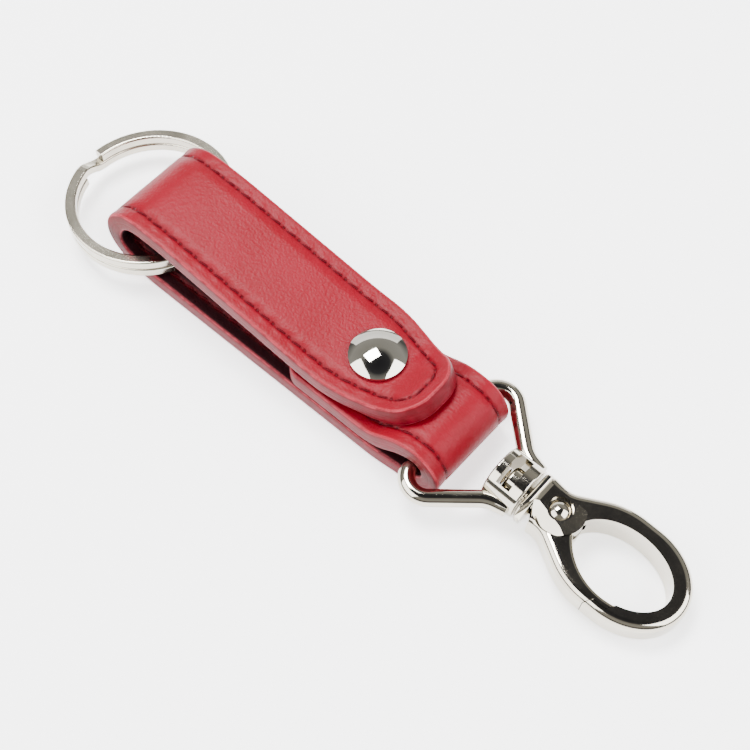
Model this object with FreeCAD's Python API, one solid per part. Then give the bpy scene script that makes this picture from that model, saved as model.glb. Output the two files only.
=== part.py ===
import FreeCAD, Part
import math
import os

os.makedirs("parts", exist_ok=True)

V = FreeCAD.Vector

# The strap lies along X with its ring end at -X and its hook end at +X. The origin is the
# middle of the back panel's flat underside, so Z is height above the table.

# Strap leather: an outer ply and a lining ply, sewn together
strap_width = 19.5
outer_ply = 1.75
lining_ply = 1.75
strap_thickness = outer_ply + lining_ply
hook_end_width = 18.4
soft_gap = 0.3
overrun = 4.0
join_tolerance = 0.001

# Back panel and the side view of the folds and tabs, as radii of the strap's middle line
back_length = 57.3
loop_foot_radius = 14.85
loop_foot_turn = 30.0
loop_heel_radius = 4.25
loop_heel_turn = 60.0
loop_crown_radius = 7.05
loop_crown_turn = 90.0
hook_fold_radius = 3.8
half_turn = 180.0

tongue_flat_length = 16.3
tongue_rise_radius = 8.5
tongue_rise_turn = 32.0
tongue_corner_radius = 3.0
taper_length = 7.5

flap_crown_share = 1.85
flap_sag_share = 1.45
flap_flat_length = 7.3
flap_lift_radius = 11.2
flap_lift_turn = 27.0
flap_tip_length = 11.0
flap_taper_reach = 15.8
flap_taper_radius = 25.0
flap_nose_reach = 13.0
flap_tip_half_width = 5.9
flap_tip_radius = 6.0

# Stitching
stitch_inset = 2.6
stitch_pitch = 3.5
stitch_length = 2.7
thread_width = 0.6
thread_height = 0.4
groove_width = 0.8
groove_depth = 0.35
back_groove_depth = 0.5
thread_lift = 0.06

# Snap fastener
snap_set_back = 3.94
snap_gap = 1.25
snap_cap_radius = 4.8
snap_cap_seat_radius = 3.2
snap_cap_lift = 0.15
snap_cap_rim = 0.6
snap_cap_dome = 1.45
snap_cap_wall = 0.45
snap_stem_radius = 1.4
snap_socket_radius = 4.2
snap_socket_bore = 2.35
snap_socket_wall = 0.5
snap_socket_drop = 0.1
snap_socket_height = 2.4
snap_stud_flange_radius = 3.7
snap_stud_flange = 0.5
snap_stud_recess = 0.3
snap_stud_neck_radius = 1.75
snap_stud_head_radius = 2.0
snap_stud_height = 1.6
snap_stud_lip = 0.5
snap_post_flange_radius = 3.8
snap_post_flange = 0.45
snap_post_stem_radius = 1.1
snap_seat_clearance = 0.05

# Split ring: a flat wire wound twice, less the step where it changes layer
ring_outer_radius = 15.0
ring_wire_width = 1.95
ring_wire_height = 1.75
ring_coil_gap = 0.15
ring_edge_round = 0.35
ring_reach = 15.4
ring_side_shift = 0.3
ring_tilt = 3.0
ring_lower_end_angle = 197.0
ring_step_start_angle = 177.0
ring_step_sections = 6
full_turn = 360.0

# Bail: a wire bar with two bent arms that meet in a collar with a window in it
wire_radius = 1.45
bar_lift = 0.25
bail_half_width = 13.5
bail_arm_angle = 42.0
bail_corner_radius = 3.3
bail_shoulder_half_width = 4.9
bail_arm_end_half_width = 4.1
bail_bend_radius = 6.0
bail_swing_gap = 0.4
collar_radius = 4.65
collar_start = 10.7
collar_ring_length = 1.5
collar_window_length = 2.6
collar_base_length = 2.1
collar_window_half_width = 3.2
collar_edge_round = 0.35

# Swivel post, riveted into the hook's neck
post_head_radius = 2.5
post_head_length = 1.9
post_head_round = 0.6
post_stem_radius = 1.5
post_seat_length = 1.4
running_clearance = 0.06
axial_clearance = 0.3

# Hook: neck, bevelled block over the gate's pivot, and the oval
neck_length = 1.3
neck_half_width = 4.7
neck_half_height = 3.2
neck_edge_round = 0.5
neck_slot_side = 2.6
neck_far_side = 2.7
neck_crest_start = 19.2
neck_crest_end = 24.2
bevel_start = 18.9
bevel_side = 0.85
bevel_slope = 32.0
bevel_heading = 14.5
pivot_reach = 22.5
pivot_side = 0.15
cheek_radius = 4.25
wedge_end = 26.8
shoulder_start = 21.9
shoulder_start_half_width = 4.2
shoulder_end = 29.9
oval_crest = 36.2
oval_end = 46.9
oval_half_width = 8.8
oval_side = -0.25
oval_half_height = 2.8
shoulder_round = 4.0
shoulder_sweep_radius = 14.0
oval_rim_round = 1.35
eye_centre = 35.0
eye_side = -0.6
eye_half_length = 8.9
eye_half_width = 6.05
eye_edge_round = 0.95

# Gate: the sprung side of the oval
gate_clearance = 0.12
gate_tail_start = 19.9
gate_nose_start = 34.3
gate_lap_side = 7.7
gate_lap_length = 2.3
gate_tip_side = 6.3
gate_inner_bow = 2.0
gate_edge_round = 0.6
gate_front_angle = -24.0
knuckle_radius = 3.2
knuckle_half_height = 0.85
slot_clearance = 0.1
slot_radius = 4.6
slot_front = 2.6
slot_back = 19.0
web_side = 1.2
rivet_radius = 1.2
rivet_head_radius = 1.7
rivet_head_height = 0.75
rivet_recess_radius = 2.1
rivet_recess_height = 2.7
spring_wire_radius = 0.35
spring_coil_radius = 3.9
spring_start_angle = -9.0
spring_end_angle = 28.0

strap_half_width = strap_width / 2
ply_face = strap_thickness / 2


# Side view of the strap as one line from the tongue's free end round to the flap's tip.
# The left side of the line is the strap's outer face.

def normal(heading):
    angle = math.radians(heading)
    return V(-math.sin(angle), 0, math.cos(angle))


def forward(heading):
    angle = math.radians(heading)
    return V(math.cos(angle), 0, math.sin(angle))


class Run:
    """A straight run or a round bend of the strap's middle line."""

    def __init__(self, start, heading, length=0, radius=0, turn=0):
        self.start = start
        self.heading = heading
        self.radius = radius
        self.turn = turn
        self.length = length if length else radius * math.radians(abs(turn))
        self.side = math.copysign(1, turn)
        self.centre = start + normal(heading) * (radius * self.side)

    def place(self, share, offset=0):
        """Point at a share of the run, offset to the outer face's side."""
        if self.turn:
            out = normal(self.heading + self.turn * share)
            return self.centre + out * (offset - self.radius * self.side)
        return self.start + forward(self.heading) * (self.length * share) + normal(self.heading) * offset

    def edge(self, offset):
        first, last = self.place(0, offset), self.place(1, offset)
        if self.turn:
            return Part.Arc(first, self.place(1 / 2, offset), last).toShape()
        return Part.LineSegment(first, last).toShape()

    def surface(self, x, offset):
        """Height and heading of the offset face over x, or None outside the run."""
        first, last = self.place(0, offset), self.place(1, offset)
        if not min(first.x, last.x) <= x <= max(first.x, last.x):
            return None
        if self.turn:
            reach = offset - self.radius * self.side
            heading = math.degrees(math.asin((self.centre.x - x) / reach))
            if math.cos(math.radians(self.heading + self.turn / 2)) < 0:
                heading = half_turn - heading
            return (self.centre + normal(heading) * reach).z, heading
        share = (x - first.x) / (last.x - first.x)
        return first.z + (last.z - first.z) * share, self.heading


def walk(start, heading, pieces):
    runs = []
    for piece in pieces:
        run = Run(start, heading, **piece)
        runs.append(run)
        start = run.place(1)
        heading += run.turn
    return runs


def slope_length(drop, radii, turn):
    """Straight length between two equal and opposite bends that together drop by a height."""
    angle = math.radians(turn)
    return (drop - radii * (1 - math.cos(angle))) / math.sin(angle)


tongue_rest = strap_thickness + soft_gap + ply_face
fold_top = ply_face + 2 * hook_fold_radius
tongue_slope = slope_length(fold_top - tongue_rest, 2 * tongue_rise_radius, tongue_rise_turn)
loop_foot = math.radians(loop_foot_turn)
loop_top = (ply_face + loop_foot_radius * (1 - math.cos(loop_foot))
            + loop_heel_radius * math.cos(loop_foot) + loop_crown_radius)
snap_level = tongue_rest + strap_thickness + snap_gap

tongue_pieces = [
    dict(length=tongue_flat_length),
    dict(radius=tongue_rise_radius, turn=tongue_rise_turn),
    dict(length=tongue_slope),
    dict(radius=tongue_rise_radius, turn=-tongue_rise_turn),
]
hook_fold_pieces = [dict(radius=hook_fold_radius, turn=-half_turn)]
back_pieces = [dict(length=back_length)]
ring_fold_pieces = [
    dict(radius=loop_foot_radius, turn=-loop_foot_turn),
    dict(radius=loop_heel_radius, turn=-loop_heel_turn),
    dict(radius=loop_crown_radius, turn=-loop_crown_turn),
]

ring_end = -back_length / 2
hook_end = back_length / 2
back_start = V(hook_end, 0, ply_face)
tongue_run_in = walk(V(0, 0, 0), 0, tongue_pieces + hook_fold_pieces)[-1].place(1)
strap = walk(back_start - tongue_run_in, 0,
             tongue_pieces + hook_fold_pieces + back_pieces + ring_fold_pieces)
tongue_runs = strap[:2]
hook_rise_runs = strap[2:4]
hook_fold_runs = strap[4:5]
back_runs = strap[5:6]
ring_fold_runs = strap[6:9]
tongue_end = tongue_runs[0].start.x
tongue_start = hook_rise_runs[0].start.x
loop_end = ring_fold_runs[-1].place(1)
flap_start = loop_end.x
snap_x = tongue_runs[1].start.x - snap_set_back

# The flap falls to the snap by two opposite bends and the straight line that touches both
flap_reach = snap_x - flap_flat_length / 2 - flap_start
flap_drop = loop_top - snap_level
flap_crown_radius = flap_crown_share * flap_reach
flap_sag_radius = flap_sag_share * flap_reach
flap_bends = flap_crown_radius + flap_sag_radius
flap_slope = math.sqrt(flap_reach ** 2 + (flap_bends - flap_drop) ** 2 - flap_bends ** 2)
flap_fall = math.atan2(flap_reach, flap_bends - flap_drop) - math.atan2(flap_slope, flap_bends)
flap_fall_turn = math.degrees(flap_fall)
flap_runs = walk(loop_end, 0, [
    dict(radius=flap_crown_radius, turn=-flap_fall_turn),
    dict(length=flap_slope),
    dict(radius=flap_sag_radius, turn=flap_fall_turn),
    dict(length=flap_flat_length),
    dict(radius=flap_lift_radius, turn=flap_lift_turn),
    dict(length=flap_tip_length),
])


def ribbon(runs, low, high, y_low, y_high):
    """Solid between two offsets of the middle line, extruded across the strap."""
    edges = [run.edge(low) for run in runs]
    edges.append(Part.LineSegment(runs[-1].place(1, low), runs[-1].place(1, high)).toShape())
    edges += [run.edge(high) for run in reversed(runs)]
    edges.append(Part.LineSegment(runs[0].place(0, high), runs[0].place(0, low)).toShape())
    face = Part.Face(Part.Wire(Part.__sortEdges__(edges)))
    face.translate(V(0, y_low, 0))
    return face.extrude(V(0, y_high - y_low, 0))


def outline(points, radii=None):
    """Closed wire through points in plan, each corner rounded to its radius."""
    count = len(points)
    radii = radii or [0] * count
    ends = []
    for k, point in enumerate(points):
        back = (points[k - 1] - point).normalize()
        ahead = (points[(k + 1) % count] - point).normalize()
        half = back.getAngle(ahead) / 2
        reach = radii[k] / math.tan(half)
        bisector = (back + ahead).normalize()
        middle = point + bisector * (radii[k] / math.sin(half) - radii[k])
        ends.append((point + back * reach, middle, point + ahead * reach))
    edges = []
    for k, (first, middle, last) in enumerate(ends):
        if radii[k]:
            edges.append(Part.Arc(first, middle, last).toShape())
        following = ends[(k + 1) % count][0]
        if not last.isEqual(following, join_tolerance):
            edges.append(Part.LineSegment(last, following).toShape())
    return Part.Wire(edges)


def prism(wire, low, high):
    """Upright solid on a plan outline."""
    face = Part.Face(wire)
    face.translate(V(0, 0, low))
    return face.extrude(V(0, 0, high - low))


def mirrored(points):
    return points + [V(p.x, -p.y, p.z) for p in reversed(points)]


def largest(shape):
    return max(shape.Solids, key=lambda piece: piece.Volume)


def cylinder(radius, low, high, x=0, y=0):
    return Part.makeCylinder(radius, high - low, V(x, y, low), V(0, 0, 1))


def turned(points, x=0, y=0):
    """Solid turned about an upright axis from its (radius, height) outline."""
    wire = Part.makePolygon([V(radius, 0, height) for radius, height in points + points[:1]])
    solid = Part.Face(wire).revolve(V(0, 0, 0), V(0, 0, 1), full_turn)
    solid.translate(V(x, y, 0))
    return solid


# Plan outlines of the three panels
top_reach = loop_top + strap_thickness
flap_tip_x = snap_x + flap_nose_reach
flap_taper_x = flap_tip_x - flap_taper_reach
flap_outline = outline(
    mirrored([V(flap_start - overrun, strap_half_width, 0), V(flap_taper_x, strap_half_width, 0),
              V(flap_tip_x, flap_tip_half_width, 0)]),
    [0, flap_taper_radius, flap_tip_radius, flap_tip_radius, flap_taper_radius, 0])
tongue_outline = outline(
    mirrored([V(tongue_end, strap_half_width, 0), V(hook_end - taper_length, strap_half_width, 0),
              V(hook_end, hook_end_width / 2, 0), V(hook_end + overrun, hook_end_width / 2, 0)]),
    [tongue_corner_radius, 0, 0, 0, 0, 0, 0, tongue_corner_radius])
back_outline = outline(
    mirrored([V(ring_end, strap_half_width, 0), V(hook_end - taper_length, strap_half_width, 0),
              V(hook_end, hook_end_width / 2, 0)]))
flap_plan = prism(flap_outline, -overrun, top_reach)
tongue_plan = prism(tongue_outline, -overrun, top_reach)
back_plan = prism(back_outline, -overrun, top_reach)


def panel(runs, plan, low, high):
    return ribbon(runs, low, high, -strap_half_width, strap_half_width).common(plan)


def stitch(place, along, up):
    """One stitch: a short rounded bar lying on the floor of the groove."""
    bar = Part.makeBox(stitch_length, thread_width, thread_height,
                       V(-stitch_length / 2, -thread_width / 2, 0))
    ends = [edge for edge in bar.Edges if abs(edge.tangentAt(0).y) > abs(edge.tangentAt(0).x)
            and edge.CenterOfMass.z > thread_height / 2]
    bar = bar.makeFillet(thread_height / 2, ends)
    turn = FreeCAD.Rotation(along, up.cross(along), up, "ZXY")
    bar.Placement = FreeCAD.Placement(place, turn)
    return bar


def stitch_line(wire_outline):
    """Inset sewing line of a panel, and the groove round it in plan."""
    line = wire_outline.makeOffset2D(-stitch_inset)
    outer = wire_outline.makeOffset2D(-stitch_inset + groove_width / 2)
    inner = wire_outline.makeOffset2D(-stitch_inset - groove_width / 2)
    groove = prism(outer, -overrun, top_reach).cut(prism(inner, -overrun, top_reach))
    return line, groove


def sew(runs, wire_outline, x_low, x_high):
    """Stitches along a panel's inset line, and the groove they lie in."""
    line, groove = stitch_line(wire_outline)
    groove = groove.common(ribbon(runs, ply_face - groove_depth, ply_face + overrun,
                                  -strap_half_width, strap_half_width))
    count = round(line.Length / stitch_pitch)
    points = line.discretize(Number=count + 1)
    floor = ply_face - groove_depth
    stitches = []
    for first, last in zip(points, points[1:]):
        middle = (first + last) / 2
        if min(first.x, last.x) < x_low or max(first.x, last.x) > x_high:
            continue
        for run in runs:
            found = run.surface(middle.x, floor)
            if found:
                height, heading = found
                up = normal(heading)
                flat = (last - first).normalize()
                along = (flat - up * flat.dot(up)).normalize()
                place = V(middle.x, middle.y, height) + up * thread_lift
                stitches.append(stitch(place, along, up))
                break
    return Part.makeCompound(stitches), groove


bar_x = back_length / 2
bar_z = ply_face + hook_fold_radius + bar_lift
arm_slope = math.tan(math.radians(bail_arm_angle))
corner_reach = math.tan(math.radians((half_turn / 2 + bail_arm_angle) / 2))
bail_corner_y = bail_half_width - wire_radius + bail_corner_radius * (corner_reach - 1)


def arm_inside(radius):
    """Half the room between the bail's arms at a distance from the bar, less the gap kept."""
    slack = wire_radius / math.cos(math.radians(bail_arm_angle)) + bail_swing_gap
    return bail_corner_y - arm_slope * radius - slack


def hook_fold(low, high):
    """One ply of the hook end, its corners pinched in so that the bail's arms swing past."""
    half = hook_end_width / 2
    reach = hook_fold_radius + strap_thickness
    full_radius = (arm_inside(0) - half) / arm_slope
    room = Part.makePolygon([
        V(0, -half, 0), V(full_radius, -half, 0), V(reach, -arm_inside(reach), 0),
        V(reach, arm_inside(reach), 0), V(full_radius, half, 0), V(0, half, 0), V(0, -half, 0)])
    room = Part.Face(room).revolve(V(0, 0, 0), V(0, 1, 0), full_turn)
    room.translate(V(bar_x, 0, bar_z))
    bend = ribbon(hook_fold_runs, low, high, -half, half).common(room)
    rise = panel(hook_rise_runs, tongue_plan, low, high)
    return bend.fuse(rise).removeSplitter()


# Snap fastener, from the cap down to the post's flange
flap_top = snap_level + ply_face
flap_under = snap_level - ply_face
tongue_top = tongue_rest + ply_face
tongue_under = tongue_rest - ply_face
stud_base = tongue_top - snap_stud_recess
stud_top = stud_base + snap_stud_flange + snap_stud_height
socket_low = flap_under - snap_socket_drop
socket_high = socket_low + snap_socket_height


def dome(radius, height, base, x, y=0):
    """Shallow dome: the part of a sphere above a flat base."""
    sphere = (radius ** 2 + height ** 2) / (2 * height)
    ball = Part.makeSphere(sphere, V(x, y, base + height - sphere))
    return ball.common(cylinder(radius, base, base + height + overrun, x, y))


def snap_cap():
    rim_low = flap_top + snap_cap_lift
    rim_high = rim_low + snap_cap_rim
    rim = cylinder(snap_cap_radius, rim_low, rim_high, snap_x)
    seat_disc = cylinder(snap_cap_seat_radius, flap_top, rim_low, snap_x)
    cap = rim.fuse([dome(snap_cap_radius, snap_cap_dome, rim_high, snap_x), seat_disc])
    inner_radius = snap_cap_radius - snap_cap_wall
    hollow = cylinder(inner_radius, rim_low + snap_cap_wall, rim_high, snap_x)
    hollow = hollow.fuse(dome(inner_radius, snap_cap_dome - snap_cap_wall, rim_high, snap_x))
    stem = cylinder(snap_stem_radius, socket_high - snap_socket_wall, rim_low + snap_cap_wall, snap_x)
    return cap.cut(hollow).fuse(stem).removeSplitter()


def snap_socket():
    body = cylinder(snap_socket_radius, socket_low, socket_high, snap_x)
    hollow = cylinder(snap_socket_bore, socket_low, socket_high - snap_socket_wall, snap_x)
    stem_hole = cylinder(snap_stem_radius + snap_seat_clearance, socket_low, socket_high, snap_x)
    return body.cut(hollow).cut(stem_hole)


def snap_stud():
    neck_top = stud_top - snap_stud_lip
    solid = turned([
        (snap_post_stem_radius + snap_seat_clearance, stud_base),
        (snap_stud_flange_radius, stud_base),
        (snap_stud_flange_radius, stud_base + snap_stud_flange),
        (snap_stud_neck_radius, stud_base + snap_stud_flange),
        (snap_stud_neck_radius, neck_top - snap_stud_lip),
        (snap_stud_head_radius, neck_top),
        (snap_stud_neck_radius, stud_top),
        (snap_post_stem_radius + snap_seat_clearance, stud_top)], snap_x)
    return solid


def snap_post():
    flange = cylinder(snap_post_flange_radius, tongue_under, tongue_under + snap_post_flange, snap_x)
    stem = cylinder(snap_post_stem_radius, tongue_under, stud_top, snap_x)
    return flange.fuse(stem).removeSplitter()


# Leather, cut for the snap and grooved for the thread
seat = snap_seat_clearance
flap_stitching, flap_groove = sew(flap_runs, flap_outline, flap_start, flap_tip_x)
tongue_stitching, tongue_groove = sew(tongue_runs, tongue_outline, tongue_end, tongue_start)
cap_stem_hole = cylinder(snap_stem_radius + seat, flap_under - overrun, flap_top + overrun, snap_x)
socket_recess = cylinder(snap_socket_radius + seat, flap_under - overrun, socket_high, snap_x)
post_stem_hole = cylinder(snap_post_stem_radius + seat, tongue_under - overrun, tongue_top + overrun, snap_x)
stud_recess = cylinder(snap_stud_flange_radius + seat, stud_base, tongue_top + overrun, snap_x)
post_recess = cylinder(snap_post_flange_radius + seat, tongue_under - overrun,
                       tongue_under + snap_post_flange, snap_x)

flap_leather = panel(flap_runs, flap_plan, 0, ply_face).cut(cap_stem_hole)
flap_leather = largest(flap_leather.cut(socket_recess).cut(flap_groove).cut(flap_stitching))
flap_lining = panel(flap_runs, flap_plan, -ply_face, 0).cut(socket_recess)
tongue_leather = panel(tongue_runs, tongue_plan, 0, ply_face).cut(post_stem_hole)
tongue_leather = largest(tongue_leather.cut(stud_recess).cut(tongue_groove).cut(tongue_stitching))
tongue_lining = panel(tongue_runs, tongue_plan, -ply_face, 0).cut(post_stem_hole).cut(post_recess)

ring_fold_leather = ribbon(ring_fold_runs, 0, ply_face, -strap_half_width, strap_half_width)
ring_fold_lining = ribbon(ring_fold_runs, -ply_face, 0, -strap_half_width, strap_half_width)
hook_fold_leather = hook_fold(0, ply_face)
hook_fold_lining = hook_fold(-ply_face, 0)

# Back panel: its stitches lie up inside the groove, clear of the table
back_lining = panel(back_runs, back_plan, -ply_face, 0)
back_leather = panel(back_runs, back_plan, 0, ply_face)
back_row_length = back_length - taper_length
back_count = int(back_row_length / stitch_pitch)
back_stitches = []
for side in (-1, 1):
    row_y = side * (strap_half_width - stitch_inset)
    groove = Part.makeBox(back_row_length, groove_width, back_groove_depth + overrun,
                          V(ring_end, row_y - groove_width / 2, -overrun))
    back_leather = back_leather.cut(groove)
    for k in range(back_count):
        place = V(ring_end + stitch_pitch * (k + 1 / 2), row_y, back_groove_depth)
        back_stitches.append(stitch(place, V(1, 0, 0), V(0, 0, -1)))
back_stitching = Part.makeCompound(back_stitches)


# Split ring
ring_pitch = ring_wire_height + ring_coil_gap
ring_mid_radius = ring_outer_radius - ring_wire_width / 2


def ring_section(angle, height):
    """Rounded flat section of the ring's wire, standing on a radius."""
    half = ring_wire_width / 2
    corners = [V(-half, 0, 0), V(half, 0, 0), V(half, 0, ring_wire_height), V(-half, 0, ring_wire_height)]
    flat = [V(p.x, p.z, 0) for p in corners]
    wire = outline(flat, [ring_edge_round] * len(flat))
    wire.rotate(V(0, 0, 0), V(1, 0, 0), half_turn / 2)
    wire.translate(V(ring_mid_radius, 0, height))
    wire.rotate(V(0, 0, 0), V(0, 0, 1), angle)
    return wire


def split_ring():
    step = ring_lower_end_angle - ring_step_start_angle
    sweep = full_turn - step
    lower = Part.Face(ring_section(ring_lower_end_angle, 0))
    lower = lower.revolve(V(0, 0, 0), V(0, 0, 1), sweep)
    upper = Part.Face(ring_section(ring_lower_end_angle, ring_pitch))
    upper = upper.revolve(V(0, 0, 0), V(0, 0, 1), sweep)
    sections = []
    for k in range(ring_step_sections + 1):
        share = k / ring_step_sections
        rise = (1 - math.cos(math.pi * share)) / 2
        sections.append(ring_section(ring_step_start_angle + step * share, ring_pitch * rise))
    jog = Part.makeLoft(sections, True, True)
    ring = lower.fuse([upper, jog]).removeSplitter()
    ring.rotate(V(0, 0, 0), V(0, 1, 0), -ring_tilt)
    # the ring hangs just clear of the lining where its wire crosses the strap's edge
    inner_radius = ring_outer_radius - ring_wire_width
    crossing = math.sqrt(inner_radius ** 2 - (strap_half_width + ring_side_shift) ** 2)
    ring_x = flap_start - (loop_crown_radius + ply_face) + ring_reach - ring_outer_radius
    under = [run.surface(ring_x + crossing, -ply_face) for run in back_runs + ring_fold_runs[:1]]
    lining_height = max(found[0] for found in under if found)
    lift = lining_height + soft_gap - crossing * math.sin(math.radians(ring_tilt))
    ring.translate(V(ring_x, ring_side_shift, lift))
    return ring


# Hook assembly, drawn level from the bar's axis along X, then dipped until it meets the table
collar_length = collar_ring_length + collar_window_length + collar_base_length
collar_end = collar_start + collar_length
window_start = collar_start + collar_ring_length
window_end = window_start + collar_window_length
collar_fall = (bar_z - collar_radius - running_clearance) / collar_end
oval_fall = (bar_z - oval_half_height - running_clearance) / oval_end
hook_dip = math.degrees(math.asin(min(collar_fall, oval_fall)))


def seat_hook(shape):
    shape.rotate(V(0, 0, 0), V(0, 1, 0), hook_dip)
    shape.translate(V(bar_x, 0, bar_z))
    return shape


def along(radius, start, length):
    """Cylinder on the swivel's axis."""
    return Part.makeCylinder(radius, length, V(start, 0, 0), V(1, 0, 0))


def block(x_low, x_high, y_low, y_high, z_low, z_high):
    return Part.makeBox(x_high - x_low, y_high - y_low, z_high - z_low, V(x_low, y_low, z_low))


def bail():
    shoulder_x = (bail_corner_y - bail_shoulder_half_width) / arm_slope
    arm_end_x = collar_end - collar_base_length / 2
    points = mirrored([V(arm_end_x, bail_arm_end_half_width, 0), V(shoulder_x, bail_shoulder_half_width, 0),
                       V(0, bail_corner_y, 0)])
    radii = [0, bail_bend_radius, bail_corner_radius, bail_corner_radius, bail_bend_radius, 0]
    loop = outline(points, radii)
    # the last edge closes the outline across the collar, and isn't part of the wire
    path = Part.Wire(loop.Edges[:-1])
    start = path.Edges[0].valueAt(path.Edges[0].FirstParameter)
    heading = path.Edges[0].tangentAt(path.Edges[0].FirstParameter)
    section = Part.Wire(Part.Circle(start, heading, wire_radius).toShape())
    wire = path.makePipeShell([section], True, True)
    collar = along(collar_radius, collar_start, collar_length)
    rims = [edge for edge in collar.Edges if edge.Curve.TypeId == "Part::GeomCircle"]
    collar = collar.makeFillet(collar_edge_round, rims)
    solid = collar.fuse(wire)
    side = collar_window_half_width
    window = block(window_start, window_end, -side, side, -2 * collar_radius, 2 * collar_radius)
    bore = along(post_stem_radius + running_clearance, collar_start - overrun, collar_length + overrun + overrun)
    face = block(collar_end, collar_end + overrun, -2 * collar_radius, 2 * collar_radius,
                 -2 * collar_radius, 2 * collar_radius)
    return solid.cut(window).cut(bore).cut(face)


neck_start = collar_end + axial_clearance
neck_end = neck_start + neck_length


def swivel_post():
    head_end = window_end - axial_clearance / 2
    head = along(post_head_radius, head_end - post_head_length, post_head_length)
    rim = [edge for edge in head.Edges if edge.Curve.TypeId == "Part::GeomCircle"
           and edge.CenterOfMass.x < head_end - post_head_length / 2]
    head = head.makeFillet(post_head_round, rim)
    stem = along(post_stem_radius, head_end, neck_start + post_seat_length - head_end)
    return head.fuse(stem).removeSplitter()


def oval_plate():
    """The whole oval and its shoulders, gate side included, before the eye is cut."""
    loop = outline(
        mirrored([V(neck_start + neck_length / 2, neck_half_width, 0),
                  V(shoulder_start, shoulder_start_half_width, 0),
                  V(shoulder_end, oval_half_width, 0), V(oval_crest, oval_half_width, 0)]),
        [0, shoulder_round, shoulder_sweep_radius, 0, 0, shoulder_sweep_radius, shoulder_round, 0])
    # half an ellipse closes the outline in place of the straight edge at the crest
    sides = [edge for edge in loop.Edges if edge.BoundBox.XMin < oval_crest - running_clearance]
    ellipse = Part.Ellipse(V(oval_crest, 0, 0), oval_end - oval_crest, oval_half_width)
    end = Part.ArcOfEllipse(ellipse, -math.pi / 2, math.pi / 2).toShape()
    wire = Part.Wire(Part.__sortEdges__(sides + [end]))
    wire.translate(V(0, oval_side, 0))
    plate = prism(wire, -oval_half_height, oval_half_height)
    rims = [edge for edge in plate.Edges
            if abs(abs(edge.CenterOfMass.z) - oval_half_height) < running_clearance
            and edge.CenterOfMass.x > neck_end]
    return plate.makeFillet(oval_rim_round, rims)


def eye():
    ellipse = Part.Ellipse(V(eye_centre, eye_side, 0), eye_half_length, eye_half_width).toShape()
    return prism(Part.Wire(ellipse), -2 * oval_half_height, 2 * oval_half_height)


def bevelled(shape):
    """The shape with a sloping face cut along the block's near side, above and below."""
    cutter = block(neck_end - bevel_start, 2 * overrun, -2 * overrun, 0, 0, overrun)
    cutter.rotate(V(0, 0, 0), V(1, 0, 0), bevel_slope)
    cutter.rotate(V(0, 0, 0), V(0, 0, 1), -bevel_heading)
    cutter.translate(V(bevel_start, -bevel_side, neck_half_height))
    return shape.cut(cutter).cut(cutter.mirror(V(0, 0, 0), V(0, 0, 1)))


def on_pivot(radius, angle):
    turn = math.radians(angle)
    return V(pivot_reach + radius * math.cos(turn), pivot_side + radius * math.sin(turn), 0)


def across(point, side):
    """Where the path of a point that turns on the pivot first reaches a side distance."""
    arm = point - V(pivot_reach, pivot_side, 0)
    path = V(-arm.y, arm.x, 0).normalize()
    return point + path * ((side - point.y) / path.y)


def gate_zone(tail, clearance):
    """Plan of the gate, grown by a clearance: tail, outer side, lapped nose, inner side, cheek arc."""
    outside = -oval_half_width - overrun
    nose = V(gate_nose_start + clearance, -oval_half_width, 0)
    nose_out = across(nose, outside)
    nose_in = across(nose, -gate_lap_side - clearance)
    lap_out = V(nose_in.x + gate_lap_length, nose_in.y, 0)
    lap_in = across(lap_out, -gate_tip_side + clearance)
    radius = cheek_radius + gate_clearance - clearance
    front = on_pivot(radius, gate_front_angle)
    inner = (front - lap_in).normalize()
    waist = (front + lap_in) / 2 - V(inner.y, -inner.x, 0) * (gate_inner_bow - clearance)
    tail_angle = -math.degrees(math.acos((tail - pivot_reach) / radius))
    edges = [
        Part.LineSegment(V(tail, on_pivot(radius, tail_angle).y, 0), V(tail, outside, 0)),
        Part.LineSegment(V(tail, outside, 0), nose_out),
        Part.LineSegment(nose_out, nose_in),
        Part.LineSegment(nose_in, lap_out),
        Part.LineSegment(lap_out, lap_in),
        Part.Arc(lap_in, waist, front),
        Part.Arc(front, on_pivot(radius, (gate_front_angle + tail_angle) / 2), on_pivot(radius, tail_angle)),
    ]
    wire = Part.Wire([edge.toShape() for edge in edges])
    return prism(wire, -2 * neck_half_height, 2 * neck_half_height)


def at_pivot(radius, low, high):
    return cylinder(radius, low, high, pivot_reach, pivot_side)


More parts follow.
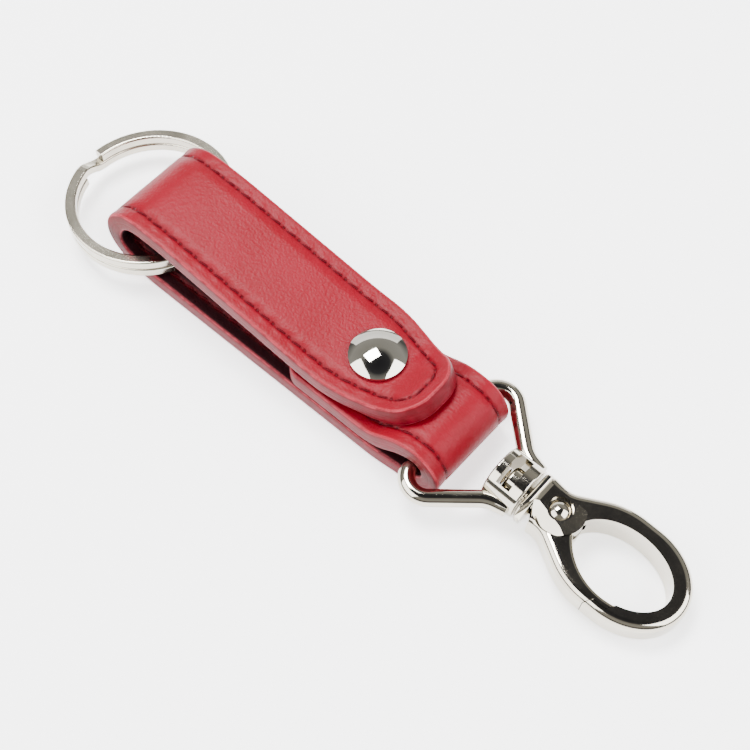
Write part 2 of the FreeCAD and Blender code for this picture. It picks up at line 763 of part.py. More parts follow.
def hook_body():
    plate = oval_plate().cut(eye())
    rims = [edge for edge in plate.Edges
            if edge.Curve.TypeId == "Part::GeomEllipse"]
    plate = plate.makeFillet(eye_edge_round, rims)
    tall = 2 * neck_half_height
    flange = along(neck_half_width, neck_start, neck_length).common(
        block(neck_start, neck_end, -tall, tall, -neck_half_height, neck_half_height))
    rims = [edge for edge in flange.Edges if abs(edge.tangentAt(edge.FirstParameter).x) < seat]
    flange = flange.makeFillet(neck_edge_round, rims)
    root_x = neck_end - neck_length / 2
    root_z = neck_half_height - neck_edge_round
    crest = [V(root_x, 0, root_z), V(neck_crest_start, 0, neck_half_height),
             V(neck_crest_end, 0, neck_half_height), V(wedge_end, 0, oval_half_height)]
    belly = [V(point.x, 0, -point.z) for point in reversed(crest)]
    wedge = Part.Face(Part.makePolygon(crest + belly + crest[:1]))
    wedge.translate(V(0, -tall, 0))
    wedge = wedge.extrude(V(0, 2 * tall, 0))
    neck_plan = block(root_x, pivot_reach, -neck_slot_side, neck_far_side, -tall, tall)
    cheek = at_pivot(cheek_radius, -tall, tall)
    neck_plan = neck_plan.fuse(cheek.common(block(root_x, wedge_end, -tall, neck_far_side, -tall, tall)))
    solid = bevelled(plate.fuse([flange, wedge.common(neck_plan)]))
    solid = solid.cut(gate_zone(neck_end, gate_clearance))
    # slot for the gate's knuckle, open to the gate's side and into the eye
    reach = knuckle_half_height + slot_clearance
    knuckle_slot = at_pivot(knuckle_radius + slot_clearance, -reach, reach)
    mouth = at_pivot(slot_radius, -reach, reach).common(
        block(slot_back, wedge_end + overrun, pivot_side - tall, pivot_side + slot_front, -tall, tall))
    solid = solid.cut(knuckle_slot).cut(mouth)
    solid = solid.cut(at_pivot(rivet_radius, -tall, tall))
    for low, high in ((rivet_recess_height, tall), (-tall, -rivet_recess_height)):
        solid = solid.cut(at_pivot(rivet_recess_radius, low, high))
    solid = solid.cut(along(post_stem_radius, neck_start - overrun, overrun + post_seat_length))
    return largest(solid)


def gate():
    lever = oval_plate().common(gate_zone(gate_tail_start, 0))
    rims = [edge for edge in lever.Edges
            if edge.Curve.TypeId == "Part::GeomCircle" and edge.CenterOfMass.x > wedge_end
            and abs(abs(edge.CenterOfMass.z) - oval_half_height) < running_clearance]
    lever = lever.makeFillet(gate_edge_round, rims)
    half = knuckle_half_height
    web = at_pivot(slot_radius, -half, half).common(
        block(gate_tail_start, wedge_end + overrun, pivot_side - 2 * slot_radius, pivot_side - web_side,
              -half, half))
    knuckle = at_pivot(knuckle_radius, -half, half)
    solid = lever.fuse([web, knuckle]).removeSplitter()
    return solid.cut(at_pivot(rivet_radius + running_clearance, -2 * half, 2 * half))


def gate_rivet():
    pin = at_pivot(rivet_radius, -rivet_recess_height, rivet_recess_height)
    head = dome(rivet_head_radius, rivet_head_height, rivet_recess_height, pivot_reach, pivot_side)
    solid = pin.fuse([head, head.mirror(V(0, 0, 0), V(0, 0, 1))])
    return solid.removeSplitter()


def gate_spring():
    first = on_pivot(spring_coil_radius, spring_start_angle)
    last = on_pivot(spring_coil_radius, spring_end_angle)
    middle = on_pivot(spring_coil_radius, (spring_start_angle + spring_end_angle) / 2)
    path = Part.Wire(Part.Arc(first, middle, last).toShape())
    edge = path.Edges[0]
    heading = edge.tangentAt(edge.FirstParameter)
    section = Part.Wire(Part.Circle(first, heading, spring_wire_radius).toShape())
    return path.makePipeShell([section], True, True)


pieces = {
    "back_leather": back_leather,
    "back_lining": back_lining,
    "back_stitching": back_stitching,
    "ring_fold_leather": ring_fold_leather,
    "ring_fold_lining": ring_fold_lining,
    "hook_fold_leather": hook_fold_leather,
    "hook_fold_lining": hook_fold_lining,
    "flap_leather": flap_leather,
    "flap_lining": flap_lining,
    "flap_stitching": flap_stitching,
    "snap_cap": snap_cap(),
    "snap_socket": snap_socket(),
    "tongue_leather": tongue_leather,
    "tongue_lining": tongue_lining,
    "tongue_stitching": tongue_stitching,
    "snap_stud": snap_stud(),
    "snap_post": snap_post(),
    "split_ring": split_ring(),
    "bail": seat_hook(bail()),
    "swivel_post": seat_hook(swivel_post()),
    "hook_body": seat_hook(hook_body()),
    "gate": seat_hook(gate()),
    "gate_rivet": seat_hook(gate_rivet()),
    "gate_spring": seat_hook(gate_spring()),
}

for name, shape in pieces.items():
    box = shape.BoundBox
    print(f"{name:18s} solids {len(shape.Solids):3d} valid {shape.isValid()} volume {shape.Volume:9.2f} "
          f"x {box.XMin:7.2f}..{box.XMax:6.2f} y {box.YMin:7.2f}..{box.YMax:6.2f} "
          f"z {box.ZMin:6.2f}..{box.ZMax:6.2f}")
    shape.exportStep(f"parts/{name}.step")

print(f"hook dip {hook_dip:.3f}, bar at {bar_x:.2f}, {bar_z:.2f}, snap at {snap_x:.2f}, flap from {flap_start:.2f}")
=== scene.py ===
import bmesh
import bpy
import math
from mathutils import Matrix, Vector


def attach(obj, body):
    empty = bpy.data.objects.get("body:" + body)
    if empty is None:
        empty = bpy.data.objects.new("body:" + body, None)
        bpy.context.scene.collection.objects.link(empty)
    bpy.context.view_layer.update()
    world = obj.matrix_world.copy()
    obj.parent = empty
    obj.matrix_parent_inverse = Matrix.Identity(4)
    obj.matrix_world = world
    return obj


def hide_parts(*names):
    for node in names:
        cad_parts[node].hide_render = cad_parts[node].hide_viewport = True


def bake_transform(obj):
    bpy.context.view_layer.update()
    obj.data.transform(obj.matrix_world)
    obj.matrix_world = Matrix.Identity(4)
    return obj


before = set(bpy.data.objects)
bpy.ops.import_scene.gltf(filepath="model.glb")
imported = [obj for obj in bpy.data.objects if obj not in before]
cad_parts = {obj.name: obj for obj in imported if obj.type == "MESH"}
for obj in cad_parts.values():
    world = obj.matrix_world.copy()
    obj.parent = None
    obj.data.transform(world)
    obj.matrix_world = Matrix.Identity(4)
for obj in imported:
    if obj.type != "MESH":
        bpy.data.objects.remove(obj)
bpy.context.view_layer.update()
mm = 0.001
closeBy = 0.05  # in mm, how near a vertex lies to a place that it belongs to


def takeUp(piece):
    if bpy.context.mode != "OBJECT":
        bpy.ops.object.mode_set(mode="OBJECT")
    bpy.ops.object.select_all(action="DESELECT")
    piece.hide_set(False)
    piece.select_set(True)
    bpy.context.view_layer.objects.active = piece


def openMesh(piece):
    takeUp(piece)
    bpy.ops.object.mode_set(mode="EDIT")
    bpy.ops.mesh.select_mode(type="VERT")
    bpy.ops.mesh.select_all(action="SELECT")


def closeMesh():
    bpy.ops.object.mode_set(mode="OBJECT")


def pick(kind, test):  # in edit mode, select what passes the test
    piece = bpy.context.object
    bpy.ops.mesh.select_mode(type=kind)
    bpy.ops.mesh.select_all(action="DESELECT")
    shape = bmesh.from_edit_mesh(piece.data)
    for part in {"VERT": shape.verts, "EDGE": shape.edges, "FACE": shape.faces}[kind]:
        if test(part):
            part.select_set(True)
    shape.select_flush(True)
    bmesh.update_edit_mesh(piece.data)


def split(place, axis=0, **options):  # in edit mode, cut everything square to an axis, place in mm
    spot, way = Vector((0, 0, 0)), Vector((0, 0, 0))
    spot[axis], way[axis] = place * mm, 1
    bpy.ops.mesh.select_all(action="SELECT")
    bpy.ops.mesh.bisect(plane_co=spot, plane_no=way, **options)


def applyAll(piece):
    takeUp(piece)
    for modifier in list(piece.modifiers):
        bpy.ops.object.modifier_apply(modifier=modifier.name)


def settle(piece):  # the place goes into the mesh, the object stays at the origin
    takeUp(piece)
    bpy.ops.object.transform_apply(location=True, rotation=True, scale=True)


def smooth(piece, angle):
    takeUp(piece)
    bpy.ops.object.shade_smooth_by_angle(angle=math.radians(angle))


def copyOf(piece, name):
    made = piece.copy()
    made.data = piece.data.copy()
    made.name = name
    made.data.name = name
    bpy.context.scene.collection.objects.link(made)
    return made


def joined(name, parts):
    takeUp(parts[0])
    for part in parts:
        part.select_set(True)
    bpy.ops.object.join()
    made = bpy.context.object
    made.name = name
    made.data.name = name
    return made


class Wire:  # a socket that takes part in Python sums
    def __init__(self, tree, socket):
        self.tree = tree
        self.socket = socket

    def sum(self, operation, *values):
        node = self.tree.nodes.new("ShaderNodeMath")
        node.operation = operation
        for place, value in zip(node.inputs, values):
            if isinstance(value, Wire):
                self.tree.links.new(value.socket, place)
            else:
                place.default_value = value
        return Wire(self.tree, node.outputs[0])

    def __add__(self, other):
        return self.sum("ADD", self, other)

    def __sub__(self, other):
        return self.sum("SUBTRACT", self, other)

    def __mul__(self, other):
        return self.sum("MULTIPLY", self, other)

    __rmul__ = __mul__

    def __abs__(self):
        return self.sum("ABSOLUTE", self)

    def cosine(self):
        return self.sum("COSINE", self)


class Finish:  # one material and its nodes
    def __init__(self, name, **settings):
        self.material = bpy.data.materials.new(name)
        self.material.use_nodes = True
        self.tree = self.material.node_tree
        self.shader = self.tree.nodes["Principled BSDF"]
        for socket, value in settings.items():
            self.shader.inputs[socket.replace("_", " ")].default_value = value

    def node(self, kind, settings=None, sockets=None, output=0):
        made = self.tree.nodes.new(kind)
        for key, value in (settings or {}).items():
            setattr(made, key, value)
        for key, value in (sockets or {}).items():
            if isinstance(value, Wire):
                self.tree.links.new(value.socket, made.inputs[key])
            else:
                made.inputs[key].default_value = value
        return Wire(self.tree, made.outputs[output])

    def give(self, socket, wire):
        self.tree.links.new(wire.socket, self.shader.inputs[socket])

    def stored(self, name, output="Fac"):  # an attribute kept on the mesh
        return self.node("ShaderNodeAttribute", {"attribute_name": name}, output=output)

    def mixed(self, share, first, second):  # 6 and 7 are the Mix node's two colours, 2 its colour result
        return self.node("ShaderNodeMix", {"data_type": "RGBA"}, {0: share, 6: first, 7: second}, output=2)

    def band(self, value, low, high, first=0.0, last=1.0):  # smooth step between two values
        return self.node("ShaderNodeMapRange", {"interpolation_type": "SMOOTHSTEP"},
                         {"Value": value, "From Min": low, "From Max": high, "To Min": first, "To Max": last})

    def noise(self, vector, scale, detail=2.0, roughness=0.5):
        return self.node("ShaderNodeTexNoise", None,
                         {"Vector": vector, "Scale": scale, "Detail": detail, "Roughness": roughness})

    def bumped(self, height):  # height in mm
        return self.node("ShaderNodeBump", None, {"Height": height, "Distance": mm, "Strength": 1.0})


def colour(red, green, blue):  # from screen values to the shader's linear ones
    def linear(value):
        value /= 255
        return value / 12.92 if value <= 0.04045 else ((value + 0.055) / 1.055) ** 2.4
    return (linear(red), linear(green), linear(blue), 1.0)


leather = {
    "face": colour(108, 0, 17),
    # darker red: painted shade in the stitch channel on the face, and the dark joint line between the plies
    # on the edge
    "channelShadeAndJoint": colour(90, 0, 13),
    "pale": colour(124, 6, 30),
    # pale colour for the line along the top corner: partly wear, partly a painted highlight where the rounded
    # corner catches the light
    "wornAndHighlight": colour(180, 70, 80),
    "edge": colour(84, 0, 12),
    "edgePale": colour(98, 2, 20),
    # the lining is the same leather as the face, darkened as painted shade for the inside of the folds
    "lining": colour(30, 0, 5),
    "liningPale": colour(42, 0, 7),
    # painted shade: the colour for the dark inside of each needle hole
    "shadedNeedleHole": colour(62, 0, 9),
    "thread": colour(66, 0, 10),
    "threadPale": colour(84, 0, 14),
    "grainPerMm": 2.2,
    "grainHeight": 0.05,
    "stitchPitch": 3.5,
    "rowInset": 2.6,
    "holeDepth": 0.12,
    "puckerDepth": 0.06,
    "wearAndHighlightInset": 0.3,
    "wearAndHighlightHeight": 1.55,
}


def leatherFinish(name, face, pale, grain, rough):  # lengths in mm of the flat strap
    made = Finish(name, Specular_IOR_Level=0.14)
    flat = made.stored("flat", "Vector")
    fromEdge = made.stored("edge")
    alongRow = made.stored("row")
    warp = made.noise(flat, 0.7)
    moved = made.node("ShaderNodeVectorMath", {"operation": "ADD"}, {0: flat, 1: warp})
    pebbles = made.node("ShaderNodeTexVoronoi", {"feature": "SMOOTH_F1"},
                        {"Vector": moved, "Scale": leather["grainPerMm"]})
    fine = made.noise(flat, 6.0, 3.0, 0.6)
    broad = made.noise(flat, 0.14, 3.0, 0.55)
    fromRow = abs(fromEdge - leather["rowInset"])
    beat = (alongRow * (2 * math.pi / leather["stitchPitch"])).cosine()  # 1 at each needle hole
    # painted shade darkens each needle hole
    shadedNeedleHole = made.band(beat, 0.80, 1.0) * made.band(fromRow, 0.10, 0.38, 0.8, 0.0)
    pucker = beat * made.band(fromRow, 0.2, 1.6, 1.0, 0.0)
    # pale band just inside the face's edge: partly wear, partly a painted highlight on the top corner
    cornerWearAndHighlight = made.band(abs(fromEdge - leather["wearAndHighlightInset"]), 0.0, 0.28, 0.5, 0.0)
    wornAndHighlight = cornerWearAndHighlight * made.band(fine, 0.35, 0.7, 0.3, 1.0)
    shade = made.mixed(made.band(broad, 0.3, 0.75, 0.0, 0.35), face, pale)
    shade = made.mixed(made.band(pebbles, 0.1, 0.6, 0.25, 0.0), shade, pale)
    # painted shade: the face darkens in the sunken stitch channel
    shade = made.mixed(made.band(fromRow, 0.15, 0.8, 0.6, 0.0), shade, leather["channelShadeAndJoint"])
    shade = made.mixed(wornAndHighlight, shade, leather["wornAndHighlight"])
    made.give("Base Color", made.mixed(shadedNeedleHole, shade, leather["shadedNeedleHole"]))
    made.give("Roughness", made.band(fine, 0.3, 0.8, rough - 0.04, rough + 0.06))
    height = pebbles * grain + fine * (grain * 0.3) + broad * 0.1
    made.give("Normal", made.bumped(height - pucker * leather["puckerDepth"] - shadedNeedleHole * leather["holeDepth"]))
    return made.material


leatherFace = leatherFinish("leatherFace", leather["face"], leather["pale"], leather["grainHeight"], 0.44)
# lining finish: the face leather darkened as painted shade
shadedLeatherLining = leatherFinish("shadedLeatherLining", leather["lining"], leather["liningPale"],
                              leather["grainHeight"] * 1.3, 0.60)


def edgeFinish():  # the paint over both plies' edges, with the line where they join
    made = Finish("paintedEdge", Specular_IOR_Level=0.10)
    flat = made.stored("flat", "Vector")
    fromEdge = made.stored("edge")
    ripple = made.noise(flat, 0.6, 3.0)
    fine = made.noise(flat, 3.5, 3.0)
    height = abs(made.node("ShaderNodeSeparateXYZ", None, {0: flat}, output="Z"))
    joint = made.band(height, 0.03, 0.25, 0.4, 0.0)
    # pale line at the top corner of the edge: partly wear, partly a painted highlight
    cornerWearAndHighlight = made.band(abs(height - leather["wearAndHighlightHeight"]), 0.02, 0.22, 0.55, 0.0)
    wornAndHighlight = cornerWearAndHighlight * made.band(ripple, 0.35, 0.6, 0.35, 1.0)
    shade = made.mixed(made.band(ripple, 0.35, 0.7), leather["edge"], leather["edgePale"])
    shade = made.mixed(joint, shade, leather["channelShadeAndJoint"])
    made.give("Base Color", made.mixed(wornAndHighlight, shade, leather["wornAndHighlight"]))
    made.give("Roughness", made.band(fine + fromEdge, 0.3, 1.0, 0.40, 0.52))
    made.give("Normal", made.bumped(ripple * 0.04 + fine * 0.012 - joint * 0.04))
    return made.material


paintedEdge = edgeFinish()


def threadFinish():
    made = Finish("stitchThread", Specular_IOR_Level=0.1)
    flat = made.stored("flat", "Vector")
    ply = made.node("ShaderNodeTexWave", {"wave_type": "BANDS", "bands_direction": "DIAGONAL"},
                    {"Vector": flat, "Scale": 2.2, "Distortion": 0.4}, output="Fac")
    made.give("Base Color", made.mixed(made.band(ply, 0.2, 0.8), leather["thread"], leather["threadPale"]))
    made.give("Roughness", made.band(ply, 0.0, 1.0, 0.6, 0.45))
    made.give("Normal", made.bumped(ply * 0.05))
    return made.material


stitchThread = threadFinish()

metal = {
    "chrome": colour(200, 197, 188),
    "nickel": colour(190, 184, 170),
    "steel": colour(170, 166, 156),
    "shadow": colour(158, 150, 136),
}


def metalFinish(name, tone, rough, scratch):  # places in metres, so the scales are per metre
    made = Finish(name, Metallic=1.0)
    place = made.node("ShaderNodeTexCoord", output="Object")
    cloud = made.noise(place, 160.0, 3.0)
    grit = made.noise(place, 2600.0, 2.0, 0.6)
    wave = made.noise(place, 380.0, 1.0)
    made.give("Base Color", made.mixed(made.band(cloud, 0.42, 0.75, 0.0, 0.35), tone, metal["shadow"]))
    made.give("Roughness", made.band(cloud * 0.6 + grit * 0.4, 0.3, 0.75, rough, rough + scratch))
    made.give("Normal", made.bumped(wave * 0.012 + grit * (scratch * 0.006)))
    return made.material


polishedNickel = metalFinish("polishedNickel", metal["chrome"], 0.03, 0.04)
castNickel = metalFinish("castNickel", metal["nickel"], 0.05, 0.07)
ringSteel = metalFinish("ringSteel", metal["nickel"], 0.14, 0.12)
springSteel = metalFinish("springSteel", metal["steel"], 0.22, 0.12)

nodeFinishes = {
    "snap_cap": polishedNickel,
    "snap_socket": castNickel,
    "snap_stud": castNickel,
    "snap_post": castNickel,
    "split_ring": ringSteel,
    "bail": castNickel,
    "hook_body": castNickel,
    "swivel_post": castNickel,
    "gate": castNickel,
    "gate_rivet": castNickel,
    "gate_spring": springSteel,
}
for nodeName, finish in nodeFinishes.items():
    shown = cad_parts[nodeName].data
    shown.materials.clear()
    shown.materials.append(finish)
print("finishes ready")

strap = {
    "width": 19.5,
    "hookHalfWidth": 9.1,
    "hookEase": 7.5,
    "hookEaseRadius": 30.0,
    "tongueCorner": 3.0,
    "tipLength": 15.8,
    "tipHalfWidth": 5.9,
    "tipRadius": 6.0,
    "shoulderRadius": 25.0,
    "start": (1.394, 5.55),
    # the side view of the strap's middle, from the tongue's end: length, or radius and turn
    "sideView": {
        "tongue": [(16.3, 0, 0), (0, 8.5, 32), (2.296, 0, 0), (0, 8.5, -32)],
        "hookFold": [(0, 3.8, -180)],
        "back": [(57.3, 0, 0)],
        "ringFold": [(0, 14.85, -30), (0, 4.25, -60), (0, 7.05, -90)],
        "flap": [(0, 76.32, -7.295), (24.16, 0, 0), (0, 59.82, 7.295), (7.3, 0, 0), (0, 11.2, 27),
                 (4.787, 0, 0)],
    },
    "sideViewStep": 0.25,
    # the rim's section: how far in from the edge, how high above the middle
    "profile": [
        (0.01, 0.45), (0.02, 0.90), (0.04, 1.28), (0.11, 1.50), (0.23, 1.65), (0.42, 1.73), (0.66, 1.75),
        (0.98, 1.73), (1.35, 1.69), (1.75, 1.68), (2.10, 1.66), (2.36, 1.58), (2.60, 1.43), (2.78, 1.56),
        (2.92, 1.70),
    ],
    "edgePaint": 0.17,
    # the cuts square to the strap, closer together round the two folds
    "firstCut": 0.6,
    "lastCutInset": 0.3,
    "coarseStep": 0.9,
    "fineStep": 0.45,
    "fineBeforeHookFold": 8.0,
    "fineAfterFold": 1.0,
    "coarseIntoRingFold": 2.0,
    "lengthwiseCuts": (-5.0, -2.5, 0.0, 2.5, 5.0),
}


def runLength(run):
    return sum(length + radius * math.radians(abs(turn)) for length, radius, turn in strap["sideView"][run])


hookFoldStart = runLength("tongue")
hookFoldEnd = hookFoldStart + runLength("hookFold")
backEnd = hookFoldEnd + runLength("back")
ringFoldEnd = backEnd + runLength("ringFold")
strapEnd = ringFoldEnd + runLength("flap")


def sidePoints():  # points along the side view's straights and arcs, in mm
    x, y = strap["start"]
    angle = 0
    points = [(x, y)]
    for length, radius, turn in sum(strap["sideView"].values(), []):
        swing = math.radians(turn)
        reach = length + radius * abs(swing)
        count = max(1, math.ceil(reach / strap["sideViewStep"]))
        bendEach = swing / count
        chord = 2 * radius * math.sin(abs(bendEach) / 2) + length / count
        for step in range(count):
            x += chord * math.cos(angle + bendEach / 2)
            y += chord * math.sin(angle + bendEach / 2)
            angle += bendEach
            points.append((x, y))
    return points


def sideCurve():
    points = sidePoints()
    line = bpy.data.curves.new("sideView", "CURVE")
    line.dimensions = "3D"
    line.twist_mode = "MINIMUM"
    spline = line.splines.new("POLY")
    spline.points.add(len(points) - 1)
    for knot, (x, z) in zip(spline.points, points):
        knot.co = (x * mm, 0, z * mm, 1)
        knot.tilt = math.pi
    made = bpy.data.objects.new("sideView", line)
    bpy.context.scene.collection.objects.link(made)
    return made


def bend(piece, guide):
    modifier = piece.modifiers.new("bend", "CURVE")
    modifier.object = guide
    modifier.deform_axis = "POS_X"
    applyAll(piece)


def flatOutline():  # the strap's outline as one face along x, drawn in at the hook fold and the tip
    half = strap["width"] / 2
    shoulder = strapEnd - strap["tipLength"]
    easeStart, easeEnd = hookFoldStart - strap["hookEase"], hookFoldEnd + strap["hookEase"]
    tipTurn = math.degrees(math.atan2(half - strap["tipHalfWidth"], strap["tipLength"]))
    easeTurn = math.degrees(math.atan2(half - strap["hookHalfWidth"], strap["hookEase"]))
    bpy.ops.mesh.primitive_plane_add(size=1, location=(0.5, 0, 0))
    piece = bpy.context.object
    piece.name = "flatStrap"
    settle(piece)
    openMesh(piece)
    bpy.ops.transform.resize(value=(strapEnd * mm, strap["width"] * mm, 1), center_override=(0, 0, 0))
    for place in (easeStart, hookFoldStart, hookFoldEnd, easeEnd, shoulder):
        split(place)
    for low, high, newHalf in ((hookFoldStart, hookFoldEnd, strap["hookHalfWidth"]),
                               (strapEnd, strapEnd, strap["tipHalfWidth"])):
        pick("VERT", lambda vertex: low - closeBy < vertex.co.x / mm < high + closeBy)
        bpy.ops.transform.resize(value=(1, newHalf / half, 1), center_override=(0, 0, 0))
    pick("EDGE", lambda edge: not edge.is_boundary)
    bpy.ops.mesh.dissolve_edges(use_verts=False)
    corners = [(0, strap["tongueCorner"], 90, 9), (strapEnd, strap["tipRadius"], 90 - tipTurn, 14),
               (shoulder, strap["shoulderRadius"], tipTurn, 5)]
    for place in (easeStart, easeEnd, hookFoldStart, hookFoldEnd):
        corners.append((place, strap["hookEaseRadius"], easeTurn, 3))
    for place, cornerRadius, cornerTurn, count in corners:
        pick("VERT", lambda vertex: abs(vertex.co.x / mm - place) < closeBy)
        bpy.ops.mesh.bevel(offset=cornerRadius * math.tan(math.radians(cornerTurn / 2)) * mm,
                           segments=count, affect="VERTICES")
    closeMesh()
    return piece


def around(piece, inset):  # the outline of the flat strap, moved in, in mm
    made = copyOf(piece, "insetLine")
    openMesh(made)
    bpy.ops.mesh.select_mode(type="FACE")
    if inset > 0:
        bpy.ops.mesh.inset(thickness=inset * mm, depth=0)
    closeMesh()
    inner = [face for face in made.data.polygons if face.select][0]
    line = [tuple(made.data.vertices[index].co.xy / mm) for index in inner.vertices]
    bpy.data.objects.remove(made)
    return line


def closedLengths(line):
    lengths = [0.0]
    for first, last in zip(line, line[1:] + line[:1]):
        lengths.append(lengths[-1] + math.dist(first, last))
    return lengths


def nearest(point, line, lengths):  # distance to a closed line, and how far along it
    best = (math.inf, 0.0)
    spot = Vector(point)
    for first, last, before in zip(line, line[1:] + line[:1], lengths):
        start, way = Vector(first), Vector(last) - Vector(first)
        share = min(1.0, max(0.0, (spot - start).dot(way) / max(way.length_squared, 1e-9)))
        gap = (spot - start - way * share).length
        if gap < best[0]:
            best = (gap, before + share * way.length)
    return best


def raised(piece):  # the flat strap given its rounded rim, cuts where it bends, and its lining
    openMesh(piece)
    bpy.ops.mesh.select_mode(type="FACE")
    inset, height = 0.0, 0.0
    for nextInset, nextHeight in strap["profile"]:
        bpy.ops.mesh.inset(thickness=(nextInset - inset) * mm, depth=0)
        bpy.ops.transform.translate(value=(0, 0, (nextHeight - height) * mm))
        inset, height = nextInset, nextHeight
    hookFoldCuts = (hookFoldStart - strap["fineBeforeHookFold"], hookFoldEnd + strap["fineAfterFold"])
    ringFoldCuts = (backEnd + strap["coarseIntoRingFold"], ringFoldEnd + strap["fineAfterFold"])
    place = strap["firstCut"]
    while place < strapEnd - strap["lastCutInset"]:
        split(place)
        inFold = any(low < place < high for low, high in (hookFoldCuts, ringFoldCuts))
        place += strap["fineStep"] if inFold else strap["coarseStep"]
    for side in strap["lengthwiseCuts"]:
        split(side, axis=1)
    closeMesh()
    mirror = piece.modifiers.new("lining", "MIRROR")
    mirror.use_axis = (False, False, True)
    mirror.merge_threshold = 0.00001
    applyAll(piece)


def markLeather(piece):  # the flat place, the distance from the edge and the place along the seam
    mesh = piece.data
    for name, kind in (("flat", "FLOAT_VECTOR"), ("edge", "FLOAT"), ("row", "FLOAT")):
        mesh.attributes.new(name, kind, "POINT")
    flat, edge, along = (mesh.attributes[name] for name in ("flat", "edge", "row"))
    for index, vertex in enumerate(mesh.vertices):
        spot = vertex.co / mm
        flat.data[index].vector = spot
        edge.data[index].value = nearest(spot.xy, rim, rimLengths)[0]
        along.data[index].value = nearest(spot.xy, row, rowLengths)[1] * leather["stitchPitch"] / rowPitch
    finishes = [leatherFace, paintedEdge, shadedLeatherLining]
    for finish in finishes:
        mesh.materials.append(finish)
    for face in mesh.polygons:
        inward = sum(edge.data[index].value for index in face.vertices) / len(face.vertices)
        if inward < strap["edgePaint"]:
            face.material_index = finishes.index(paintedEdge)
        elif face.center.z > 0:  # the bend turns the upper side inward
            face.material_index = finishes.index(shadedLeatherLining)


def cutFrom(piece, name, low, high):
    made = copyOf(piece, name)
    openMesh(made)
    if low is not None:
        split(low, use_fill=True, clear_inner=True)
    if high is not None:
        split(high, use_fill=True, clear_outer=True)
    closeMesh()
    return made


guide = sideCurve()
blank = flatOutline()
rim = around(blank, 0)
row = around(blank, leather["rowInset"])
rimLengths, rowLengths = closedLengths(rim), closedLengths(row)
stitchCount = round(rowLengths[-1] / leather["stitchPitch"])
rowPitch = rowLengths[-1] / stitchCount
raised(blank)
markLeather(blank)
print("flat strap", len(blank.data.polygons), "faces, strap length", round(strapEnd, 2))

hookFoldTongue = cutFrom(blank, "hookFoldTongue", None, hookFoldEnd)
backPanel = cutFrom(blank, "backPanel", hookFoldEnd, backEnd)
ringFoldFlap = cutFrom(blank, "ringFoldFlap", backEnd, None)
bpy.data.objects.remove(blank)
for piece in (hookFoldTongue, backPanel, ringFoldFlap):
    bend(piece, guide)
    smooth(piece, 50)
print("strap bent")

stitch = {
    "length": 2.7,
    "width": 0.46,
    "height": 0.46,
    "turn": 13.0,
    "middle": 1.50,
    "sides": 10,
    # along the stitch in shares of its length: how thick it is there and how far it dips, in shares
    "taper": [(-0.5, 0.45, -0.5), (-0.3, 0.9, -0.12), (-0.1, 1.0, 0.0), (0.1, 1.0, 0.0), (0.3, 0.9, -0.12),
              (0.5, 0.45, -0.5)],
    "headingReach": 0.6,
}


def oneStitch():
    length, width, height = stitch["length"], stitch["width"], stitch["height"]
    bpy.ops.mesh.primitive_cylinder_add(vertices=stitch["sides"], radius=0.5, depth=1,
                                        rotation=(0, math.pi / 2, 0))
    piece = bpy.context.object
    piece.name = "stitch"
    settle(piece)
    openMesh(piece)
    bpy.ops.transform.resize(value=(length * mm, width * mm, height * mm), center_override=(0, 0, 0))
    for share, _, _ in stitch["taper"][1:-1]:
        split(share * length)
    for share, size, drop in stitch["taper"]:
        pick("VERT", lambda vertex: abs(vertex.co.x / mm - share * length) < closeBy)
        bpy.ops.transform.resize(value=(1, size, size), center_override=(0, 0, 0))
        bpy.ops.transform.translate(value=(0, 0, drop * height * mm))
    closeMesh()
    return piece


def placeOnRow(distance):  # the point that far along the seam, in mm of the flat strap
    distance %= rowLengths[-1]
    for index, before in enumerate(rowLengths[:-1]):
        size = rowLengths[index + 1] - before
        if distance <= rowLengths[index + 1] and size > 0:
            first, last = Vector(row[index]), Vector(row[(index + 1) % len(row)])
            return first.lerp(last, (distance - before) / size)


def stitchRows():
    model = oneStitch()
    groups = {"tongueThread": [], "backThread": [], "flapThread": []}
    for number in range(stitchCount):
        middle = (number + 0.5) * rowPitch
        first, last = placeOnRow(middle - stitch["headingReach"]), placeOnRow(middle + stitch["headingReach"])
        heading = math.atan2(last.y - first.y, last.x - first.x)
        centre = (first + last) / 2
        group = "flapThread"
        if centre.x < hookFoldEnd:
            group = "tongueThread"
        elif centre.x < backEnd:
            group = "backThread"
        for side in (1, -1):
            made = copyOf(model, "stitchCopy")
            turn = Matrix.Rotation(heading + math.radians(stitch["turn"]) * side, 4, "Z")
            if side < 0:
                turn = turn @ Matrix.Rotation(math.pi, 4, "X")
            spot = Vector((centre.x, centre.y, stitch["middle"] * side)) * mm
            made.matrix_world = Matrix.Translation(spot) @ turn
            groups[group].append(made)
    bpy.data.objects.remove(model)
    threads = []
    for name, copies in groups.items():
        piece = joined(name, copies)
        settle(piece)
        flat = piece.data.attributes.new("flat", "FLOAT_VECTOR", "POINT")
        for index, vertex in enumerate(piece.data.vertices):
            flat.data[index].vector = vertex.co / mm
        piece.data.materials.append(stitchThread)
        bend(piece, guide)
        smooth(piece, 60)
        threads.append(piece)
    return threads


tongueThread, backThread, flapThread = stitchRows()
bpy.data.objects.remove(guide)
print("stitching", stitchCount, "stitches a side")

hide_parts("back_leather", "back_lining")
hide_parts("back_stitching")
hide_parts("hook_fold_leather", "hook_fold_lining", "tongue_leather", "tongue_lining")
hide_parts("tongue_stitching")
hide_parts("ring_fold_leather", "ring_fold_lining", "flap_leather", "flap_lining")
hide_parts("flap_stitching")
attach(backPanel, "strap")
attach(backThread, "strap")
for piece in (ringFoldFlap, flapThread):
    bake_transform(piece)
for piece in (hookFoldTongue, tongueThread):
    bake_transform(piece)
print("pieces placed")

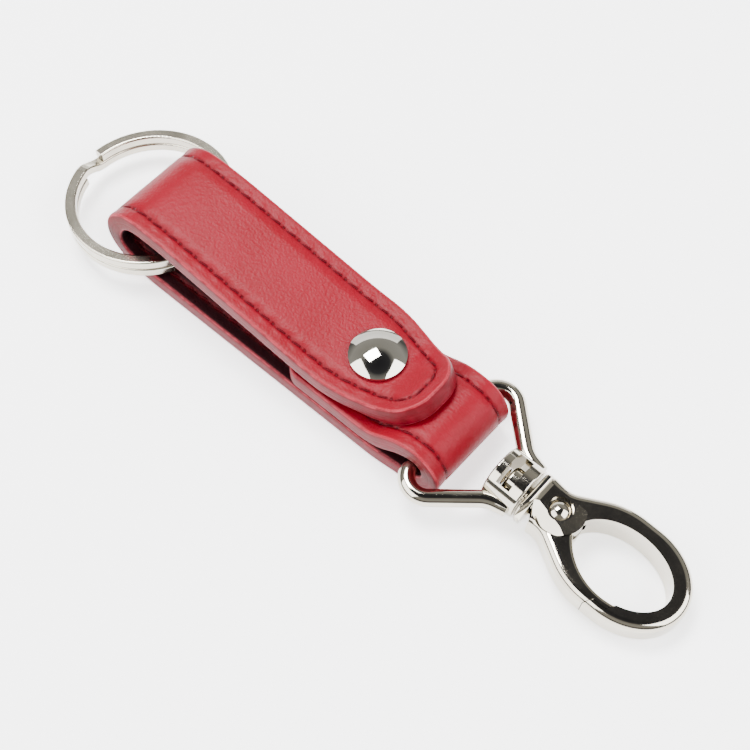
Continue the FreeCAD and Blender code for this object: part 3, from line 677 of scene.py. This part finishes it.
studio = {
    "floorColour": colour(252, 252, 253),
    "floorShade": colour(249, 249, 250),
    "floorGlow": 1.6,
    "floorSize": 6.0,
    "floorDrop": 0.02,
    # name, azimuth, elevation, distance, size, watts
    "softboxes": [
        ("keyBox", 253.0, 70.0, 0.90, (0.44, 0.34), 18.0),
        ("rightBox", 108.0, 40.0, 0.90, (0.85, 0.68), 15.0),
        ("leftBox", -26.0, 40.0, 0.90, (0.85, 0.72), 13.0),
        ("farBox", 224.0, 17.0, 1.20, (1.60, 0.55), 5.0),
    ],
    # the air's brightness at heights on the unit sphere
    "air": [(0.0, (0.35, 0.34, 0.32, 1)), (0.22, (0.12, 0.12, 0.12, 1)), (0.5, (0.50, 0.49, 0.46, 1)),
            (0.80, (0.42, 0.41, 0.38, 1)), (0.91, (0.05, 0.05, 0.055, 1)), (1.0, (0.03, 0.03, 0.035, 1))],
    "target": (11.13, 2.28, 0.0),
    "azimuth": 41.58,
    "elevation": 60.0,
    "distance": 250.6,
    "lens": 71.5,
    "sensorWidth": 36.0,
    "clipStart": 10.0,
}


def direction(azimuth, elevation):
    a, e = math.radians(azimuth), math.radians(elevation)
    return Vector((math.sin(a) * math.cos(e), -math.cos(a) * math.cos(e), math.sin(e)))


def hang(name, data, place, back):  # a lamp or camera looking down the line it stands on
    holder = bpy.data.objects.new(name, data)
    bpy.context.scene.collection.objects.link(holder)
    holder.location = place
    holder.rotation_mode = "QUATERNION"
    holder.rotation_quaternion = back.to_track_quat("Z", "Y")
    return holder


def layFloor():
    bpy.ops.mesh.primitive_plane_add(size=studio["floorSize"], location=(0, 0, -studio["floorDrop"] * mm))
    floor = bpy.context.object
    floor.name = "floor"
    made = Finish("floorPaper", Roughness=0.9, Emission_Strength=studio["floorGlow"],
                  Emission_Color=studio["floorColour"])
    place = made.node("ShaderNodeTexCoord", output="Object")
    made.give("Base Color", made.mixed(made.noise(place, 3.0), studio["floorColour"], studio["floorShade"]))
    floor.data.materials.append(made.material)


def setLights():
    for name, azimuth, elevation, distance, size, watts in studio["softboxes"]:
        lamp = bpy.data.lights.new(name, "AREA")
        lamp.shape = "RECTANGLE"
        lamp.size, lamp.size_y = size
        lamp.energy = watts
        back = direction(azimuth, elevation)
        hang(name, lamp, back * distance, back)
    world = bpy.data.worlds.new("studioAir")
    bpy.context.scene.world = world
    world.use_nodes = True
    tree = world.node_tree
    place = tree.nodes.new("ShaderNodeTexCoord")
    upright = tree.nodes.new("ShaderNodeSeparateXYZ")
    fade = tree.nodes.new("ShaderNodeValToRGB")
    for height, _ in studio["air"][1:-1]:
        fade.color_ramp.elements.new(height)
    for stop, (height, tone) in zip(fade.color_ramp.elements, studio["air"]):
        stop.position, stop.color = height, tone
    tree.links.new(place.outputs["Generated"], upright.inputs[0])
    tree.links.new(upright.outputs[2], fade.inputs[0])
    tree.links.new(fade.outputs[0], tree.nodes["Background"].inputs[0])


def setCamera():
    lens = bpy.data.cameras.new("photoCamera")
    lens.lens = studio["lens"]
    lens.sensor_width = studio["sensorWidth"]
    lens.clip_start = studio["clipStart"] * mm
    back = direction(studio["azimuth"], studio["elevation"])
    place = (Vector(studio["target"]) + back * studio["distance"]) * mm
    bpy.context.scene.camera = hang("photoCamera", lens, place, back)


layFloor()
setLights()
setCamera()
print("studio set")

bpy.context.view_layer.update()
